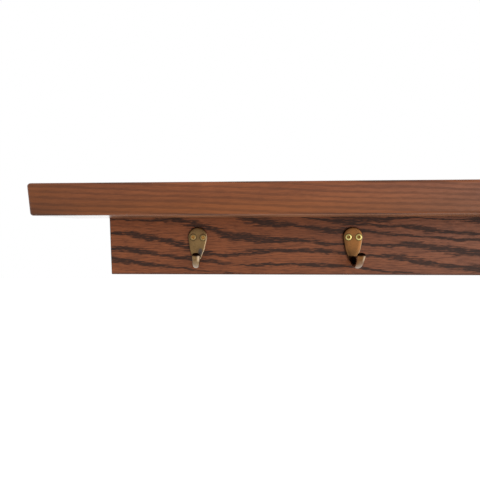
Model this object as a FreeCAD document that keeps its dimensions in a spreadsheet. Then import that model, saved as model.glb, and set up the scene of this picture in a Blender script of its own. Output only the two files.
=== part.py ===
"""A shaker peg rail with a shelf: an oak shelf board dowelled onto an oak rail that carries five
cast coat hooks and hangs from two keyhole plates let into its back. Sizes are in millimetres.

The origin is the middle of the rail's back face, on the wall. +X runs to the right along the rail,
+Y into the wall and +Z up, so the hooks point to -Y."""

import FreeCAD, Part
import math
import os

import Sketcher
from FreeCAD import Placement, Rotation, Vector

# Each named size, its value and what it is
SIZES = (
    ("hook_pitch", 152.4, "from one hook to the next"),
    ("rail_end_margin", 90.1, "from the end hook to the end of the rail's top edge"),
    ("rail_end_slope", 1.8, "how far the rail's ends run in from top to bottom"),
    ("rail_height", 57.0, "the rail, bottom edge to top edge"),
    ("rail_thick", 19.05, "the rail, back to front"),
    ("rail_arris", 0.9, "rounding of the rail's front, end and bottom edges"),
    ("shelf_overhang", 47.6, "the shelf past each end of the rail"),
    ("shelf_depth", 101.6, "the shelf, wall to front edge"),
    ("shelf_thick", 27.4, "the shelf, underside to top"),
    ("shelf_end_slope", 2.9, "how far the shelf's ends run in from top to underside"),
    ("shelf_corner", 4.0, "rounding of its two front corners, seen from above"),
    ("shelf_arris", 2.6, "rounding of its front and end edges"),
    ("dowel_radius", 4.75, "the hidden dowels"),
    ("dowel_length", 36.0, "a dowel, half of it in each board"),
    ("dowel_chamfer", 1.0, "on both ends of a dowel"),
    ("dowel_fit", 0.1, "glue room round a dowel"),
    ("dowel_end_room", 1.0, "glue room past a dowel's end"),
    ("dowel_end_margin", 36.5, "from the last dowel to the end of the rail"),
    ("hook_drop", 19.8, "from the rail's top edge down to the hook screws"),
    ("plate_head_radius", 9.4, "the round head of a hook's plate"),
    ("plate_head_rise", 0.5, "from the screws up to the head's centre"),
    ("plate_waist_radius", 7.7, "the round that swells the plate's sides below its head"),
    ("plate_waist_drop", 10.0, "from the screws down to the waist's centre"),
    ("plate_foot_radius", 4.0, "the round foot of the plate"),
    ("plate_foot_drop", 20.8, "from the screws down to the foot's centre"),
    ("plate_thick", 2.8, "the plate, back to front"),
    ("plate_round", 0.9, "rounding of the plate's front edge"),
    ("prong_root", 8.0, "how far up the plate the prong's strap swells out of it"),
    ("prong_seat", 0.35, "how far in front of the rail the strap's back stays"),
    ("prong_back_bend", 10.1, "radius of the bend out of the plate"),
    ("prong_flat", 3.8, "the level run under the throat"),
    ("prong_front_bend", 11.0, "radius of the bend up to the tip"),
    ("prong_rise", 9.6, "the straight run to the tip"),
    ("prong_low", 27.1, "from the screws down to the prong's lowest line"),
    ("prong_width", 8.2, "the widest section of the prong"),
    ("prong_thick", 6.2, "the thickest section of the prong"),
    ("prong_tip_round", 1.7, "rounding of the prong's end"),
    ("hook_screw_gap", 9.9, "between the two screws of a hook"),
    ("hook_screw_head", 3.15, "head radius of a hook screw"),
    ("hook_screw_crown", 0.35, "how far its head is domed"),
    ("hook_screw_shank", 1.75, "its shank radius"),
    ("hook_screw_length", 15.9, "from the plate's face to its end"),
    ("hook_screw_point", 3.5, "length of its point"),
    ("screw_fit", 0.1, "room round a screw's shank, in wood and in metal"),
    ("screw_end_room", 0.5, "room past a screw's end"),
    ("head_fit", 0.05, "room round a screw's head"),
    ("cross_span", 4.0, "the cross recess of a screw from end to end"),
    ("cross_width", 1.45, "one arm of the recess from side to side"),
    ("cross_depth", 0.85, "how deep the recess goes below the head's rim"),
    ("hanger_spacing", 406.4, "between the two keyhole plates"),
    ("hanger_height", 40.0, "a keyhole plate, top to bottom"),
    ("hanger_width", 16.0, "a keyhole plate, side to side"),
    ("hanger_thick", 2.0, "a keyhole plate, back to front"),
    ("hanger_corner", 4.0, "rounding of its corners"),
    ("hanger_fit", 0.15, "room round the plate in its recess"),
    ("hanger_screw_inset", 4.2, "from the plate's end to its screw"),
    ("hanger_screw_head", 3.1, "head radius of a plate screw"),
    ("hanger_screw_shank", 1.6, "its shank radius"),
    ("hanger_screw_length", 12.7, "from the plate's face to its end"),
    ("hanger_screw_point", 3.0, "length of its point"),
    ("entry_radius", 4.6, "the keyhole's round entry, for the wall screw's head"),
    ("entry_land", 11.0, "from the plate's lower screw up to the entry's centre"),
    ("slot_radius", 2.4, "half the width of the keyhole's slot"),
    ("slot_land", 9.6, "from the plate's upper screw down to the slot's end"),
    ("room_margin", 1.2, "how far the routed room behind a keyhole runs past a head in it"),
    ("room_depth", 9.5, "that room, from the rail's back"),
    ("overrun", 1.0, "how far a cut runs past the face it leaves by"),
)

HOOK_COUNT = 5

# Degrees clockwise, seen from the front, that a hook sits askew on the rail
HOOK_TURNS = {1: 2.4}

# Degrees from one screw's cross recess to the next one's
CROSS_TURN = 37

# Degrees that the prong's line turns: from straight down to level, and from level up to its tip
LEVEL_TURN = 90
TIP_TURN = 55

# Thickness of the prong where it leaves the plate, as a share of its largest thickness
LEAVING_SHARE = 0.38

# Sections of a prong, from inside the plate to the tip: the stretch they lie on, how far along it
# as a share of the stretch, and their width and thickness as shares of the prong's largest.
PRONG_SECTION_SHARES = (
    ("root", 0, 0.5, 0.12),
    ("back_bend", 0, 0.85, LEAVING_SHARE),
    ("back_bend", 1, 0.72, 0.72),
    ("front_bend", 0, 0.7, 0.78),
    ("front_bend", 1, 0.83, 0.9),
    ("rise", 1, 1, 1),
)

# Lengths and places that follow from the sizes
RAIL_LENGTH = f"({HOOK_COUNT - 1} * sizes.hook_pitch + 2 * sizes.rail_end_margin)"
SHELF_LENGTH = f"({RAIL_LENGTH} + 2 * sizes.shelf_overhang)"
RAIL_TOP = "(sizes.rail_height / 2)"
HOOK_LINE = f"({RAIL_TOP} - sizes.hook_drop)"
BOARD_MIDDLE = "(-sizes.rail_thick / 2)"
HALF_SCREW_GAP = "(sizes.hook_screw_gap / 2)"
HANGER_SCREW_HEIGHT = "(sizes.hanger_height / 2 - sizes.hanger_screw_inset)"
ENTRY_HEIGHT = f"(sizes.entry_land - {HANGER_SCREW_HEIGHT})"
SLOT_HEIGHT = f"({HANGER_SCREW_HEIGHT} - sizes.slot_land)"

# Two places count as the same within this many millimetres of rounding in the geometry
SAME_PLACE = 1e-5

doc = FreeCAD.newDocument("peg_rail_shelf")
sheet = doc.addObject("Spreadsheet::Sheet", "sizes")
for row, (alias, value, meaning) in enumerate(SIZES, start=1):
    sheet.set(f"A{row}", alias)
    sheet.set(f"B{row}", str(value))
    sheet.set(f"C{row}", meaning)
    sheet.setAlias(f"B{row}", alias)
doc.recompute()

nodes = []


def new_body(name):
    """A sub-part, whose name is its label and its file's name."""
    body = doc.addObject("PartDesign::Body", name)
    body.Label = name
    nodes.append(body)
    return body


def place(body, across, inward, up, rotation=Rotation()):
    """Put a body at formulas for X, Y and Z."""
    body.Placement = Placement(Vector(), rotation)
    body.setExpression("Placement.Base.x", across)
    body.setExpression("Placement.Base.y", inward)
    body.setExpression("Placement.Base.z", up)


def number(formula):
    """What a formula of sheet cells gives."""
    return float(nodes[0].evalExpression(formula))


def same(a, b):
    """True for two places that differ by rounding alone."""
    return abs(a - b) < SAME_PLACE


def new_sketch(body, name, role, raised="0"):
    """A sketch on one of the body's own origin planes, raised along its normal by a formula."""
    sketch = body.newObject("Sketcher::SketchObject", name)
    plane = next(item for item in body.Origin.OriginFeatures if item.Role == role)
    sketch.AttachmentSupport = [(plane, "")]
    sketch.MapMode = "FlatFace"
    sketch.setExpression("AttachmentOffset.Base.z", raised)
    return sketch


def bind(sketch, constraint, formula):
    """Add a constraint whose value a formula drives."""
    index = sketch.addConstraint(constraint)
    sketch.setExpression(f"Constraints[{index}]", formula)


def hold_point(sketch, edge, point, across, up):
    """Hold a point of a sketch at two formulas, measured from the sketch's origin."""
    here = sketch.getPoint(edge, point)
    bind(sketch, Sketcher.Constraint("DistanceX", -1, 1, edge, point, here.x), across)
    bind(sketch, Sketcher.Constraint("DistanceY", -1, 1, edge, point, here.y), up)


def arc_about_upright(start, end):
    """An arc from a point on the upright axis to another point, centred on that axis."""
    centre = Vector(0, (end.x**2 + end.y**2 - start.y**2) / (2 * (end.y - start.y)), 0)
    full = Part.Circle(centre, Vector(0, 0, 1), centre.distanceToPoint(start))
    return Part.ArcOfCircle(full, -math.pi / 2, math.atan2(end.y - centre.y, end.x))


def add_polygon(sketch, corners, domed=None):
    """Draw a closed outline through corners, each a pair of formulas. Its edges are straight, but
    for the one after the corner numbered domed, which is an arc about the upright axis."""
    points = [Vector(number(across), number(up), 0) for across, up in corners]
    first = sketch.GeometryCount
    for k, point in enumerate(points):
        after = points[(k + 1) % len(points)]
        edge = arc_about_upright(point, after) if k == domed else Part.LineSegment(point, after)
        sketch.addGeometry(edge)
        if k == domed:
            sketch.addConstraint(Sketcher.Constraint("PointOnObject", first + k, 3, -2))
    for k, (across, up) in enumerate(corners):
        after = first + (k + 1) % len(points)
        sketch.addConstraint(Sketcher.Constraint("Coincident", first + k, 2, after, 1))
        hold_point(sketch, first + k, 1, across, up)


def add_circle(sketch, across, up, radius):
    """Draw a circle with its centre and radius held by formulas."""
    centre = Vector(number(across), number(up), 0)
    edge = sketch.addGeometry(Part.Circle(centre, Vector(0, 0, 1), number(radius)))
    hold_point(sketch, edge, 3, across, up)
    bind(sketch, Sketcher.Constraint("Radius", edge, number(radius)), radius)


def add_chain(sketch, arcs):
    """Draw a closed outline of arcs joined by straight tangents. Each arc is given by formulas for
    its centre and radius and the angles, in radians, between which it runs anticlockwise."""
    edges = []
    for across, up, radius, start, end in arcs:
        centre = Vector(number(across), number(up), 0)
        full = Part.Circle(centre, Vector(0, 0, 1), number(radius))
        edges.append(sketch.addGeometry(Part.ArcOfCircle(full, start, end)))
        hold_point(sketch, edges[-1], 3, across, up)
        bind(sketch, Sketcher.Constraint("Radius", edges[-1], number(radius)), radius)
    for edge, after in zip(edges, edges[1:] + edges[:1]):
        line = Part.LineSegment(sketch.getPoint(edge, 2), sketch.getPoint(after, 1))
        tangent = sketch.addGeometry(line)
        sketch.addConstraint(Sketcher.Constraint("Tangent", edge, 2, tangent, 1))
        sketch.addConstraint(Sketcher.Constraint("Tangent", tangent, 2, after, 1))


def add_rounded_rectangle(sketch, across, up, width, height, corner):
    """Draw a rectangle with round corners about a centre, all by formulas."""
    right = f"({across} + {width} / 2 - {corner})"
    left = f"({across} - {width} / 2 + {corner})"
    high = f"({up} + {height} / 2 - {corner})"
    low = f"({up} - {height} / 2 + {corner})"
    quarter = math.pi / 2
    corners = ((right, high, 0), (left, high, 1), (left, low, 2), (right, low, 3))
    add_chain(sketch, [(x, z, corner, turn * quarter, (turn + 1) * quarter) for x, z, turn in corners])


def add_ellipse(sketch, width, height):
    """Draw an ellipse about the sketch's origin by formulas for its full width and height."""
    across = Vector(number(width) / 2, 0, 0)
    up = Vector(0, number(height) / 2, 0)
    level = across.Length >= up.Length
    ends = (across, up) if level else (up, -across)
    edge = sketch.addGeometry(Part.Ellipse(*ends, Vector()))
    sketch.exposeInternalGeometry(edge)
    longer, shorter = (width, height) if level else (height, width)
    sketch.addConstraint(Sketcher.Constraint("Coincident", edge, 3, -1, 1))
    sketch.addConstraint(Sketcher.Constraint("Horizontal" if level else "Vertical", edge + 1))
    bind(sketch, Sketcher.Constraint("Distance", edge + 1, number(longer)), longer)
    bind(sketch, Sketcher.Constraint("Distance", edge + 2, number(shorter)), shorter)


def pad(body, name, sketch, length):
    """Pad a sketch along its normal by a formula."""
    feature = body.newObject("PartDesign::Pad", name)
    feature.Profile = sketch
    feature.setExpression("Length", length)
    doc.recompute()


def pocket(body, name, sketch, depth, along_normal=False):
    """Cut a sketch's outline out of the body by a formula, against the sketch's normal or along it."""
    before = body.Shape.Volume
    feature = body.newObject("PartDesign::Pocket", name)
    feature.Profile = sketch
    feature.setExpression("Length", depth)
    feature.Reversed = along_normal
    doc.recompute()
    if not body.Shape.Volume < before:
        raise RuntimeError(f"{body.Label}: {name} cuts nothing")


def ease(body, kind, name, formula, wanted):
    """Fillet or chamfer, by a formula, the edges whose ends and middle all pass a test."""
    edges = []
    for place_number, edge in enumerate(body.Tip.Shape.Edges, start=1):
        middle = edge.valueAt((edge.FirstParameter + edge.LastParameter) / 2)
        if wanted([vertex.Point for vertex in edge.Vertexes] + [middle]):
            edges.append(f"Edge{place_number}")
    if not edges:
        raise RuntimeError(f"{body.Label}: {name} finds no edge")
    base = body.Tip
    feature = body.newObject(f"PartDesign::{kind}", name)
    feature.Base = (base, edges)
    feature.setExpression("Radius" if kind == "Fillet" else "Size", formula)
    doc.recompute()


def hook_across(hook):
    """Where a hook is along the rail, counted from 1 at the left."""
    return f"({hook - (HOOK_COUNT + 1) / 2} * sizes.hook_pitch)"


def hook_screw_places(hook):
    """Formulas for the two screws of a hook, left and right."""
    turn = HOOK_TURNS.get(hook, 0)
    places = {}
    for side, sign in (("left", "-1 * "), ("right", "")):
        across = f"({hook_across(hook)} + {sign}{HALF_SCREW_GAP} * cos({turn} deg))"
        up = f"({HOOK_LINE} - {sign}{HALF_SCREW_GAP} * sin({turn} deg))"
        places[side] = (across, up)
    return places


def dowel_places():
    """Formulas for the dowels along the rail: midway between hooks, and near both ends."""
    between = [f"({k - HOOK_COUNT / 2} * sizes.hook_pitch)" for k in range(1, HOOK_COUNT)]
    end = f"({RAIL_LENGTH} / 2 - sizes.dowel_end_margin)"
    return [f"(-{end})"] + between + [end]


def hanger_places():
    """Formulas for the two keyhole plates along the rail."""
    return {"left": "(-sizes.hanger_spacing / 2)", "right": "(sizes.hanger_spacing / 2)"}


# The shelf: one board, straight at the wall, its ends running in a little towards the underside
def build_shelf():
    body = new_body("shelf_board")
    outline = new_sketch(body, "shelf_outline", "XZ_Plane")
    top = f"({RAIL_TOP} + sizes.shelf_thick)"
    wide = f"({SHELF_LENGTH} / 2)"
    narrow = f"({wide} - sizes.shelf_end_slope)"
    add_polygon(outline, [(f"-{narrow}", RAIL_TOP), (narrow, RAIL_TOP), (wide, top), (f"-{wide}", top)])
    pad(body, "shelf_blank", outline, "sizes.shelf_depth")

    front = number("-sizes.shelf_depth")
    levels = (number(RAIL_TOP), number(top))

    def is_front_corner(points):
        return all(same(p.y, front) for p in points) and not same(points[0].z, points[1].z)

    def is_arris(points):
        level = any(all(same(p.z, height) for p in points) for height in levels)
        return level and not all(same(p.y, 0) for p in points)

    ease(body, "Fillet", "shelf_corners", "sizes.shelf_corner", is_front_corner)
    ease(body, "Fillet", "shelf_arrises", "sizes.shelf_arris", is_arris)
    holes = new_sketch(body, "shelf_dowel_holes", "XY_Plane", RAIL_TOP)
    for across in dowel_places():
        add_circle(holes, across, BOARD_MIDDLE, "(sizes.dowel_radius + sizes.dowel_fit)")
    depth = "sizes.dowel_length / 2 + sizes.dowel_end_room"
    pocket(body, "shelf_dowel_bores", holes, depth, along_normal=True)


# The rail: its ends run in a little towards the bottom. It is bored for dowels and screws, and let
# in at the back for the keyhole plates.
def build_rail():
    body = new_body("hook_rail")
    outline = new_sketch(body, "rail_outline", "XZ_Plane")
    wide = f"({RAIL_LENGTH} / 2)"
    narrow = f"({wide} - sizes.rail_end_slope)"
    bottom = f"(-{RAIL_TOP})"
    add_polygon(outline, [(f"-{narrow}", bottom), (narrow, bottom), (wide, RAIL_TOP), (f"-{wide}", RAIL_TOP)])
    pad(body, "rail_blank", outline, "sizes.rail_thick")

    front, low, high = number("-sizes.rail_thick"), number(bottom), number(RAIL_TOP)

    def is_arris(points):
        on_front = all(same(p.y, front) for p in points)
        on_bottom = all(same(p.z, low) for p in points)
        on_back = all(same(p.y, 0) for p in points)
        on_top = all(same(p.z, high) for p in points)
        return (on_front or on_bottom) and not on_back and not on_top

    ease(body, "Fillet", "rail_arrises", "sizes.rail_arris", is_arris)

    bores = new_sketch(body, "rail_dowel_holes", "XY_Plane", RAIL_TOP)
    for across in dowel_places():
        add_circle(bores, across, BOARD_MIDDLE, "(sizes.dowel_radius + sizes.dowel_fit)")
    pocket(body, "rail_dowel_bores", bores, "sizes.dowel_length / 2 + sizes.dowel_end_room")

    pilots = new_sketch(body, "hook_screw_holes", "XZ_Plane", "sizes.rail_thick")
    for hook in range(1, HOOK_COUNT + 1):
        for across, up in hook_screw_places(hook).values():
            add_circle(pilots, across, up, "(sizes.hook_screw_shank + sizes.screw_fit)")
    depth = "sizes.hook_screw_length - sizes.plate_thick + sizes.screw_end_room"
    pocket(body, "hook_screw_bores", pilots, depth)

    recesses = new_sketch(body, "hanger_recess_outlines", "XZ_Plane")
    rooms = new_sketch(body, "keyhole_room_outlines", "XZ_Plane")
    screws = new_sketch(body, "hanger_screw_holes", "XZ_Plane")
    room_middle = f"(({SLOT_HEIGHT} + {ENTRY_HEIGHT}) / 2)"
    room_width = "(2 * (sizes.entry_radius + sizes.room_margin))"
    room_height = f"({SLOT_HEIGHT} - {ENTRY_HEIGHT} + {room_width})"
    for across in hanger_places().values():
        recess_width = "(sizes.hanger_width + 2 * sizes.hanger_fit)"
        recess_height = "(sizes.hanger_height + 2 * sizes.hanger_fit)"
        recess_corner = "(sizes.hanger_corner + sizes.hanger_fit)"
        add_rounded_rectangle(recesses, across, "0", recess_width, recess_height, recess_corner)
        room_corner = f"({room_width} / 4)"
        add_rounded_rectangle(rooms, across, room_middle, room_width, room_height, room_corner)
        for up in (HANGER_SCREW_HEIGHT, f"(-{HANGER_SCREW_HEIGHT})"):
            add_circle(screws, across, up, "(sizes.hanger_screw_shank + sizes.screw_fit)")
    pocket(body, "hanger_recesses", recesses, "sizes.hanger_thick", along_normal=True)
    pocket(body, "keyhole_rooms", rooms, "sizes.room_depth", along_normal=True)
    depth = "sizes.hanger_screw_length + sizes.screw_end_room"
    pocket(body, "hanger_screw_bores", screws, depth, along_normal=True)


# A dowel: a plain round pin with chamfered ends, across the joint between rail and shelf
def build_dowel(order, across):
    body = new_body(f"dowel_{order}")
    ring = new_sketch(body, f"dowel_{order}_round", "XY_Plane", "-sizes.dowel_length / 2")
    add_circle(ring, "0", "0", "sizes.dowel_radius")
    pad(body, f"dowel_{order}_pin", ring, "sizes.dowel_length")
    ends = (number("-sizes.dowel_length / 2"), number("sizes.dowel_length / 2"))

    def is_end(points):
        return any(all(same(p.z, end) for p in points) for end in ends)

    ease(body, "Chamfer", f"dowel_{order}_ends", "sizes.dowel_chamfer", is_end)
    place(body, across, BOARD_MIDDLE, RAIL_TOP)


# Where the prong's line leaves the plate, and its first bend's end, measured out from the rail
PRONG_OUT = f"(sizes.prong_seat + {LEAVING_SHARE} / 2 * sizes.prong_thick)"
BEND_OUT = f"({PRONG_OUT} + sizes.prong_back_bend)"
LEAVING_HEIGHT = "(sizes.prong_back_bend - sizes.prong_low)"


def prong_point(stretch, share):
    """Formulas for how far out and how high a point of the prong's line lies, measured from the
    hook's middle on the rail, and the degrees that the line has turned there from straight down."""
    if stretch == "root":
        return PRONG_OUT, f"({LEAVING_HEIGHT} + {1 - share} * sizes.prong_root)", 0
    if stretch == "back_bend":
        turn = LEVEL_TURN * share
        out = f"({PRONG_OUT} + sizes.prong_back_bend * (1 - cos({turn} deg)))"
        return out, f"({LEAVING_HEIGHT} - sizes.prong_back_bend * sin({turn} deg))", turn
    turn = TIP_TURN if stretch == "rise" else TIP_TURN * share
    out = f"({BEND_OUT} + sizes.prong_flat + sizes.prong_front_bend * sin({turn} deg))"
    up = f"(sizes.prong_front_bend * (1 - cos({turn} deg)) - sizes.prong_low)"
    if stretch == "rise":
        out = f"({out} + {share} * sizes.prong_rise * cos({turn} deg))"
        up = f"({up} + {share} * sizes.prong_rise * sin({turn} deg))"
    return out, up, LEVEL_TURN + turn


def add_prong_line(body):
    """Draw the prong's line, seen from the side: down, round to level, along, and up to the tip."""
    line = new_sketch(body, f"{body.Label}_prong_line", "YZ_Plane")
    points = {}
    for stretch in ("root", "back_bend", "front_bend", "rise"):
        for share in (0, 1):
            out, up, _ = prong_point(stretch, share)
            points[stretch, share] = (f"(-{out})", up)

    def at(key):
        return Vector(*map(number, points[key]), 0)

    def add_run(start, end):
        edge = line.addGeometry(Part.LineSegment(at(start), at(end)))
        hold_point(line, edge, 1, *points[start])
        hold_point(line, edge, 2, *points[end])
        return edge

    def add_bend(centre, radius, start_turn, end_turn, joins):
        middle = Vector(*map(number, centre), 0)
        full = Part.Circle(middle, Vector(0, 0, 1), number(radius))
        bend = Part.ArcOfCircle(full, math.radians(start_turn), math.radians(end_turn))
        edge = line.addGeometry(bend)
        bind(line, Sketcher.Constraint("Radius", edge, number(radius)), radius)
        for point, run, run_point in joins:
            line.addConstraint(Sketcher.Constraint("Coincident", edge, point, run, run_point))

    root = add_run(("root", 0), ("back_bend", 0))
    level = add_run(("back_bend", 1), ("front_bend", 0))
    rise = add_run(("front_bend", 1), ("rise", 1))
    bottom = 3 * LEVEL_TURN
    centre = (f"(-{BEND_OUT})", LEAVING_HEIGHT)
    add_bend(centre, "sizes.prong_back_bend", bottom, bottom + LEVEL_TURN, [(1, level, 1), (2, root, 2)])
    centre = (f"(-{BEND_OUT} - sizes.prong_flat)", "(sizes.prong_front_bend - sizes.prong_low)")
    add_bend(centre, "sizes.prong_front_bend", bottom - TIP_TURN, bottom, [(1, rise, 1), (2, level, 2)])
    return line


# The prong: oval sections swept along its line, from inside the plate round to the tip
def add_prong(body):
    line = add_prong_line(body)
    sections = []
    for order, (stretch, share, width_share, thick_share) in enumerate(PRONG_SECTION_SHARES):
        thickness = f"({thick_share} * sizes.prong_thick)"
        out, up, turn = prong_point(stretch, share)
        if stretch == "root":
            out = f"(sizes.prong_seat + {thickness} / 2)"
        section = new_sketch(body, f"{body.Label}_section_{order}", "XY_Plane", up)
        section.AttachmentOffset = Placement(Vector(), Rotation(Vector(1, 0, 0), -turn))
        section.setExpression("AttachmentOffset.Base.y", f"-{out}")
        add_ellipse(section, f"({width_share} * sizes.prong_width)", thickness)
        sections.append(section)
    prong = body.newObject("PartDesign::AdditivePipe", f"{body.Label}_prong")
    prong.Profile = sections[0]
    prong.Sections = sections[1:]
    prong.Spine = (line, [])
    prong.Transformation = "Multisection"
    doc.recompute()

    tip_out, tip_up, turn = prong_point("rise", 1)
    tip = Vector(0, -number(tip_out), number(tip_up))
    onward = Rotation(Vector(1, 0, 0), -turn).multVec(Vector(0, 0, -1))

    def is_tip(points):
        return all(same((point - tip).dot(onward), 0) for point in points)

    ease(body, "Fillet", f"{body.Label}_tip", "sizes.prong_tip_round", is_tip)


# The three rounds that a hook's plate is drawn about, and how high their centres lie
PLATE_ROUNDS = (
    ("head", "sizes.plate_head_rise"),
    ("waist", "(-sizes.plate_waist_drop)"),
    ("foot", "(-sizes.plate_foot_drop)"),
)


# A hook: one casting, a drop-shaped plate with two countersunk holes that runs into the prong
def build_hook(hook):
    body = new_body(f"hook_{hook}")
    outline = new_sketch(body, f"hook_{hook}_plate_outline", "XZ_Plane")
    rounds = [("0", up, f"sizes.plate_{part}_radius") for part, up in PLATE_ROUNDS]
    leans = []
    for (_, up, radius), (_, next_up, next_radius) in zip(rounds, rounds[1:]):
        leans.append(math.asin(number(f"({radius} - {next_radius}) / ({up} - {next_up})")))
    high, low = leans
    head, waist, foot = rounds
    around = 2 * math.pi
    arcs = [(*head, -high, math.pi + high), (*waist, math.pi + high, math.pi + low)]
    arcs += [(*foot, math.pi + low, around - low), (*waist, -low, -high)]
    add_chain(outline, arcs)
    pad(body, f"hook_{hook}_plate", outline, "sizes.plate_thick")
    face = number("-sizes.plate_thick")

    def is_rim(points):
        return all(same(point.y, face) for point in points)

    ease(body, "Fillet", f"hook_{hook}_rim", "sizes.plate_round", is_rim)
    add_prong(body)

    holes = new_sketch(body, f"hook_{hook}_hole_outlines", "XZ_Plane")
    for across in (f"(-{HALF_SCREW_GAP})", HALF_SCREW_GAP):
        add_circle(holes, across, "0", "(sizes.hook_screw_shank + sizes.screw_fit)")
    pocket(body, f"hook_{hook}_holes", holes, "sizes.plate_thick + sizes.overrun", along_normal=True)
    middle = number(HALF_SCREW_GAP)
    radius = number("sizes.hook_screw_shank + sizes.screw_fit")

    def is_hole(points):
        away = [math.hypot(abs(point.x) - middle, point.z) for point in points]
        return all(same(point.y, face) and same(reach, radius) for point, reach in zip(points, away))

    sink = "sizes.hook_screw_head + sizes.head_fit - sizes.hook_screw_shank - sizes.screw_fit"
    ease(body, "Chamfer", f"hook_{hook}_sinks", sink, is_hole)
    turn = Rotation(Vector(0, 1, 0), HOOK_TURNS.get(hook, 0))
    place(body, hook_across(hook), "-sizes.rail_thick", HOOK_LINE, turn)


# A screw: a countersunk head with a cross recess, a plain shank and a point. Its head faces -Y.
def build_screw(name, kind, crowned):
    body = new_body(name)
    head, shank = f"sizes.{kind}_head", f"sizes.{kind}_shank"
    length, point = f"sizes.{kind}_length", f"sizes.{kind}_point"
    crown = f"sizes.{kind}_crown" if crowned else "0"
    half = new_sketch(body, f"{name}_half", "XY_Plane")
    corners = [("0", f"(-{crown})"), (head, "0"), (shank, f"({head} - {shank})")]
    corners += [(shank, f"({length} - {point})"), ("0", length)]
    add_polygon(half, corners, domed=0 if crowned else None)
    spin = body.newObject("PartDesign::Revolution", f"{name}_turned")
    spin.Profile = half
    spin.ReferenceAxis = (half, ["V_Axis"])
    doc.recompute()
    cross = new_sketch(body, f"{name}_cross", "XZ_Plane", crown)
    far, near = "(sizes.cross_span / 2)", "(sizes.cross_width / 2)"
    quarter = [(far, near), (near, near), (near, far)]
    corners = quarter + [(f"(-{x})", z) for x, z in reversed(quarter)]
    corners += [(f"(-{x})", f"(-{z})") for x, z in quarter]
    corners += [(x, f"(-{z})") for x, z in reversed(quarter)]
    add_polygon(cross, corners)
    pocket(body, f"{name}_recess", cross, f"{crown} + sizes.cross_depth")
    return body


# A keyhole plate: let in flush with the rail's back, entry below and slot above
def build_hanger(side, across):
    body = new_body(f"hanger_{side}")
    outline = new_sketch(body, f"hanger_{side}_outline", "XZ_Plane")
    width, height = "sizes.hanger_width", "sizes.hanger_height"
    add_rounded_rectangle(outline, "0", "0", width, height, "sizes.hanger_corner")
    pad(body, f"hanger_{side}_blank", outline, "sizes.hanger_thick")
    through = "sizes.hanger_thick + sizes.overrun"

    entry = new_sketch(body, f"hanger_{side}_entry", "XZ_Plane")
    add_circle(entry, "0", ENTRY_HEIGHT, "sizes.entry_radius")
    pocket(body, f"hanger_{side}_entry_hole", entry, through, along_normal=True)
    slot = new_sketch(body, f"hanger_{side}_slot", "XZ_Plane")
    upper = ("0", SLOT_HEIGHT, "sizes.slot_radius", 0, math.pi)
    lower = ("0", ENTRY_HEIGHT, "sizes.slot_radius", math.pi, 2 * math.pi)
    add_chain(slot, [upper, lower])
    pocket(body, f"hanger_{side}_slot_hole", slot, through, along_normal=True)

    holes = new_sketch(body, f"hanger_{side}_hole_outlines", "XZ_Plane")
    for up in (HANGER_SCREW_HEIGHT, f"(-{HANGER_SCREW_HEIGHT})"):
        add_circle(holes, "0", up, "(sizes.hanger_screw_shank + sizes.screw_fit)")
    pocket(body, f"hanger_{side}_holes", holes, through, along_normal=True)
    screw_height = number(HANGER_SCREW_HEIGHT)
    radius = number("sizes.hanger_screw_shank + sizes.screw_fit")

    def is_hole(points):
        away = [math.hypot(point.x, abs(point.z) - screw_height) for point in points]
        return all(same(point.y, 0) and same(reach, radius) for point, reach in zip(points, away))

    sink = "sizes.hanger_screw_head + sizes.head_fit - sizes.hanger_screw_shank - sizes.screw_fit"
    ease(body, "Chamfer", f"hanger_{side}_sinks", sink, is_hole)
    place(body, across, "0", "0")


build_shelf()
build_rail()
for order, across in enumerate(dowel_places(), start=1):
    build_dowel(order, across)
for hook in range(1, HOOK_COUNT + 1):
    build_hook(hook)
    plate_face = "(-sizes.rail_thick - sizes.plate_thick)"
    for count, (side, (across, up)) in enumerate(hook_screw_places(hook).items()):
        screw = build_screw(f"hook_{hook}_screw_{side}", "hook_screw", crowned=True)
        spin = Rotation(Vector(0, 1, 0), CROSS_TURN * (2 * hook + count))
        place(screw, across, plate_face, up, spin)
for side, across in hanger_places().items():
    build_hanger(side, across)
    for level, up in (("high", HANGER_SCREW_HEIGHT), ("low", f"(-{HANGER_SCREW_HEIGHT})")):
        screw = build_screw(f"hanger_{side}_screw_{level}", "hanger_screw", crowned=False)
        place(screw, across, "0", up, Rotation(Vector(0, 0, 1), 180))
doc.recompute()

for item in doc.Objects:
    if {"Invalid", "Error"} & set(item.State):
        raise RuntimeError(f"{item.Label} failed: {item.State}")
for node in nodes:
    shape = node.Shape
    if shape.isNull() or not shape.isValid() or len(shape.Solids) != 1:
        raise RuntimeError(f"{node.Label} is not one valid solid")

os.makedirs("parts", exist_ok=True)
for node in nodes:
    node.Shape.exportStep(f"parts/{node.Label}.step")
    print(node.Label, round(node.Shape.Volume, 1))
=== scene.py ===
"""A shaker peg rail with a shelf: stained red oak, dowelled together, with cast brass coat hooks."""

import math

import bmesh
import bpy
import numpy as np
from mathutils import Matrix, Vector


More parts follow.
